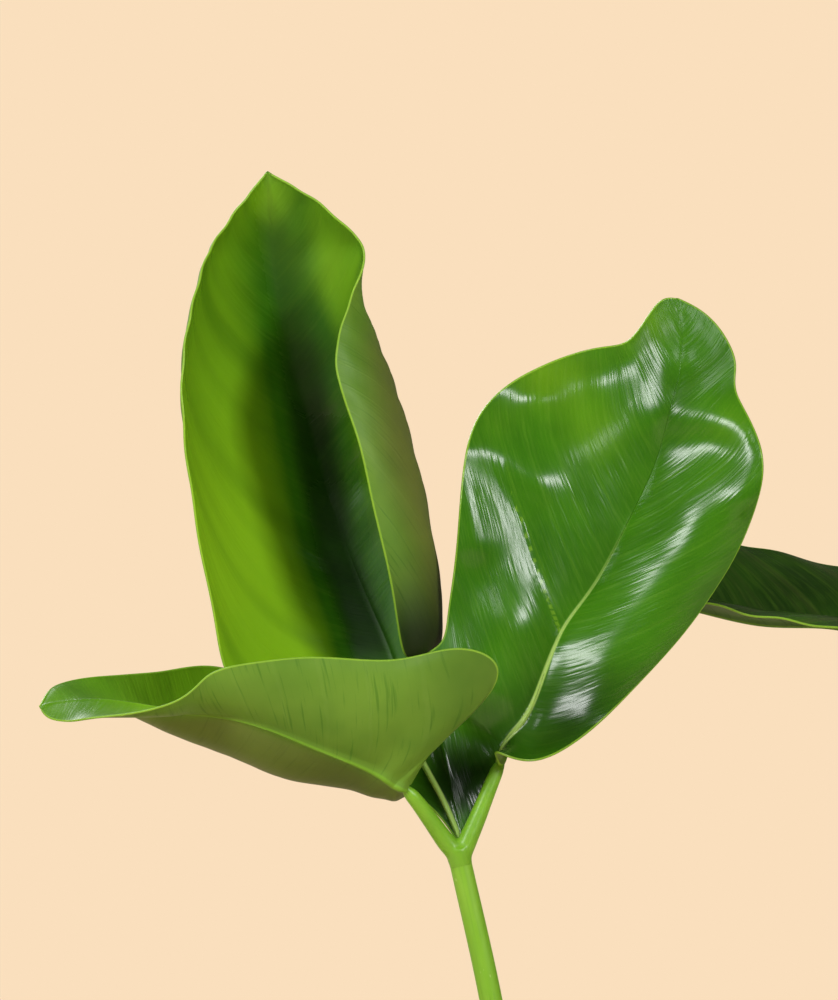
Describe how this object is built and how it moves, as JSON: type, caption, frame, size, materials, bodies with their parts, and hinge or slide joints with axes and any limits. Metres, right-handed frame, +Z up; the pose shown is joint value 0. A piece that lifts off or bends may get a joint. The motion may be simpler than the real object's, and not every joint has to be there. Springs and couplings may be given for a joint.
{
  "type": "potted philodendron",
  "caption": "Young goeldii philodendron with divided, glossy trough-shaped leaves on long stalks, growing in a plain clay pot.",
  "frame": {"origin": "middle of the pot's foot, on the surface that it stands on", "axes": "+Z up along the pot's axis, -Y towards the viewer of the picture, +X to the viewer's right"},
  "size_m": [0.4294, 0.3413, 0.4773],
  "materials": {
    "terracotta": "unglazed fired clay",
    "potting_mix": "crumbly, slightly damp",
    "stem_bark": "matt, ringed",
    "leaf_stalk": "smooth, waxy",
    "leaf": "glossy above, satin below",
    "young_leaf": "glossy above, satin below",
    "dry_sheath": "papery"
  },
  "bodies": {
    "root": {"pot": "terracotta", "soil": "potting_mix", "stem": "stem_bark", "leaf1_stalk": "leaf_stalk", "leaf2_stalk": "leaf_stalk", "leaf3_stalk": "leaf_stalk", "leaf4_stalk": "leaf_stalk", "leaf5_stalk": "leaf_stalk", "leaf1_blade": "young_leaf", "leaf2_blade": "leaf", "leaf3_blade": "leaf", "leaf4_blade": "leaf", "leaf5_blade": "leaf", "new_leaf": "young_leaf", "sheath": "dry_sheath"}
  },
  "joints": []
}
